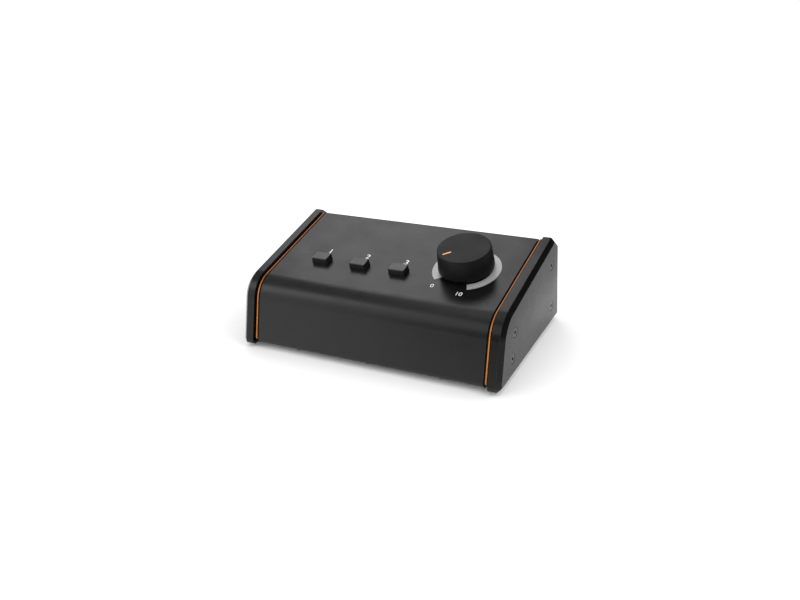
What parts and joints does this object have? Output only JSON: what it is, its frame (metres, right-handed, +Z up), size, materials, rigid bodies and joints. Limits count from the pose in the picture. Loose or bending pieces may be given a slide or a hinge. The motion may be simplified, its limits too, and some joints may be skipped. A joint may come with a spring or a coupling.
{
  "type": "studio monitor controller",
  "caption": "Wedge-shaped desktop volume controller with a bent steel body between bevelled end cheeks, push buttons and one large knob inside a silver arc.",
  "frame": {"origin": "on the desk, under the middle of the case", "axes": "+X to the right along the case, +Y to the rear panel, +Z up"},
  "size_m": [0.16, 0.0952, 0.0614],
  "materials": {
    "painted_steel": "satin dark grey powder coat on steel sheet",
    "painted_aluminium": "satin dark grey paint on aluminium plate",
    "orange_silicone": "orange silicone, slightly glossy",
    "black_moulding": "black moulded plastic",
    "plated_steel": "zinc plated steel",
    "black_screws": "black oxide steel",
    "foot_rubber": "black rubber",
    "soft_touch": "matt black soft-touch coating",
    "pointer_paint": "pale orange inlay",
    "button_plastic": "dark grey fine-textured plastic",
    "silver_arc": "silver satin foil",
    "switch_plastic": "black moulded plastic",
    "pot_metal": "nickel plated",
    "circuit_board": "green solder mask",
    "resistor_body": "blue lacquer",
    "ribbon_grey": "grey flat cable"
  },
  "bodies": {
    "case": {"top_shell": "painted_steel", "base_pan": "painted_steel", "left_cheek": "painted_aluminium", "right_cheek": "painted_aluminium", "left_accent_strip": "orange_silicone", "right_accent_strip": "orange_silicone", "left_spacer": "black_moulding", "right_spacer": "black_moulding", "left_input_jack": "black_moulding", "right_input_jack": "black_moulding", "left_output_jack": "black_moulding", "right_output_jack": "black_moulding", "aux_jack": "black_moulding", "jack_nuts": "black_moulding", "ribbon_sockets": "black_moulding", "left_end_bracket": "plated_steel", "right_end_bracket": "plated_steel", "press_nuts": "plated_steel", "board_screws": "plated_steel", "board_standoffs": "plated_steel", "connector_standoffs": "plated_steel", "cheek_screws": "black_screws", "case_screws": "black_screws", "rubber_feet": "foot_rubber", "volume_arc": "silver_arc", "left_switch_housing": "switch_plastic", "middle_switch_housing": "switch_plastic", "right_switch_housing": "switch_plastic", "pot_housing": "pot_metal", "pot_washer": "pot_metal", "pot_nut": "pot_metal", "aux_nut": "pot_metal", "main_board": "circuit_board", "connector_board": "circuit_board", "pot_wafer": "circuit_board", "pad_resistors": "resistor_body", "ribbon_cable": "ribbon_grey"},
    "volume_control": {"volume_knob": "soft_touch", "knob_pointer": "pointer_paint", "pot_shaft": "pot_metal"},
    "left_button": {"left_button_cap": "button_plastic", "left_switch_plunger": "switch_plastic"},
    "middle_button": {"middle_button_cap": "button_plastic", "middle_switch_plunger": "switch_plastic"},
    "right_button": {"right_button_cap": "button_plastic", "right_switch_plunger": "switch_plastic"}
  },
  "joints": [
    {"name": "volume_turn", "type": "hinge", "parent": "case", "child": "volume_control", "pos_m": [0.0418, 0.00323, 0.04468], "axis": [0, 0.1857, -0.9826], "range_deg": [0, 293]},
    {"name": "left_button_press", "type": "slide", "parent": "case", "child": "left_button", "axis": [0, 0.1857, -0.9826], "range_m": [0, 0.0025], "stiffness_N_per_m": 1000},
    {"name": "middle_button_press", "type": "slide", "parent": "case", "child": "middle_button", "axis": [0, 0.1857, -0.9826], "range_m": [0, 0.0025], "stiffness_N_per_m": 1000},
    {"name": "right_button_press", "type": "slide", "parent": "case", "child": "right_button", "axis": [0, 0.1857, -0.9826], "range_m": [0, 0.0025], "stiffness_N_per_m": 1000}
  ]
}
